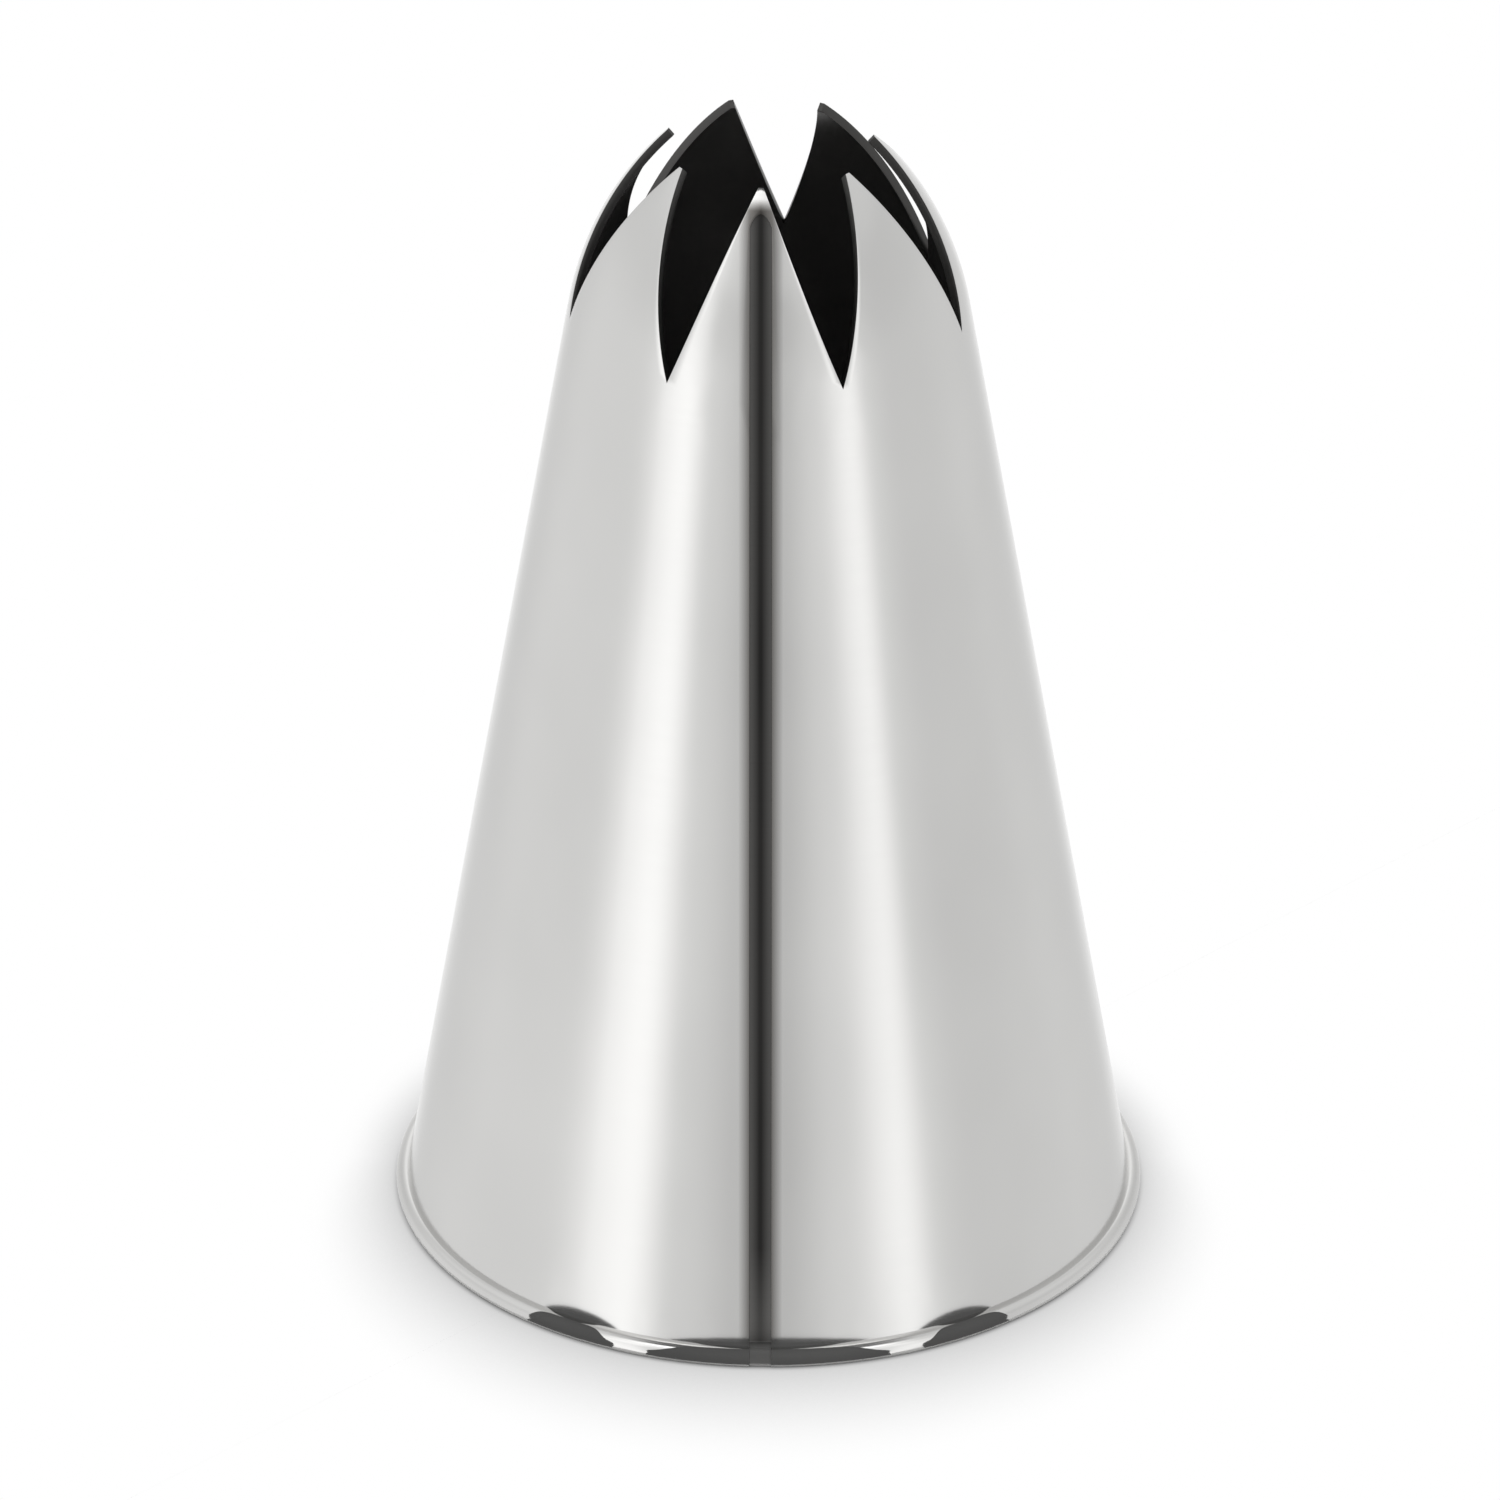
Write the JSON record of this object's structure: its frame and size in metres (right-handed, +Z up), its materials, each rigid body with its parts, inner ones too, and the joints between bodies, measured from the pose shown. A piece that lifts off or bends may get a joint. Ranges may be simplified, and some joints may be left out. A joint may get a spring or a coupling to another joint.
{
  "type": "piping nozzle",
  "caption": "Conical stainless steel piping nozzle with a closed star outlet of pointed teeth bent inwards, a welded seam and a curled bead round its base.",
  "frame": {"origin": "on the axis, in the plane of the bead that the nozzle stands on", "axes": "+Z up the axis, from the wide base to the star outlet; the weld faces -Y"},
  "size_m": [0.0312, 0.0312, 0.048],
  "materials": {
    "polished_steel": "polished stainless steel",
    "weld_steel": "dark satin weld, left as welded"
  },
  "bodies": {
    "root": {"cone_shell": "polished_steel", "seam_weld": "weld_steel"}
  },
  "joints": []
}
